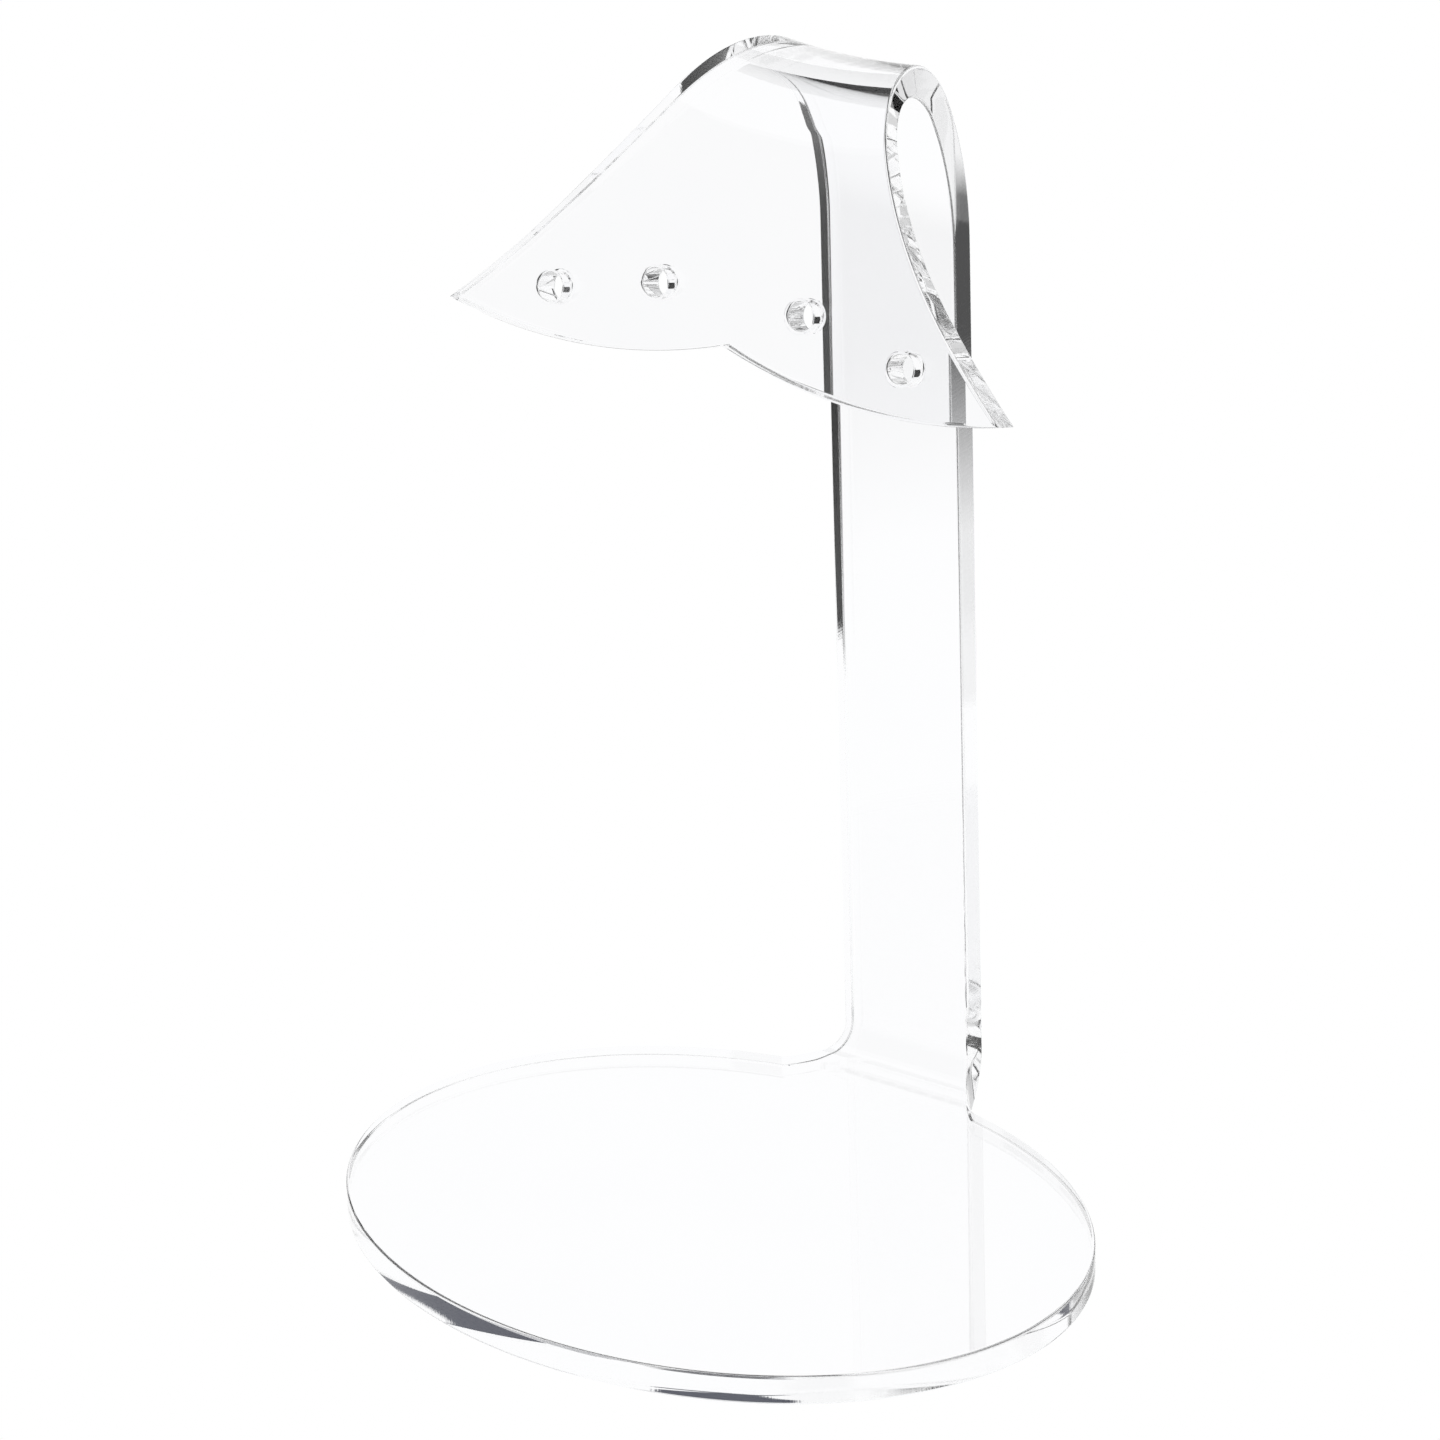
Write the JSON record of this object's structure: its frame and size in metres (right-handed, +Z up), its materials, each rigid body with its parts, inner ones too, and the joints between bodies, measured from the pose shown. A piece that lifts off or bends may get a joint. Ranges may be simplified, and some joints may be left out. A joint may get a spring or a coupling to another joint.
{
  "type": "headphone stand",
  "caption": "Freestanding headphone stand bent from clear acrylic sheet: oval base, upright strip and an arch that flares into a two-lobed front apron with holes.",
  "frame": {"origin": "on the table, under the centre of the oval base", "axes": "+Z up along the stem, +Y from the oval towards the stem (the apron faces -Y), X across the mirror plane"},
  "size_m": [0.15, 0.1285, 0.2199],
  "materials": {
    "clear_acrylic": "clear, polished faces and edges"
  },
  "bodies": {
    "root": {"bent_acrylic_sheet": "clear_acrylic"}
  },
  "joints": []
}
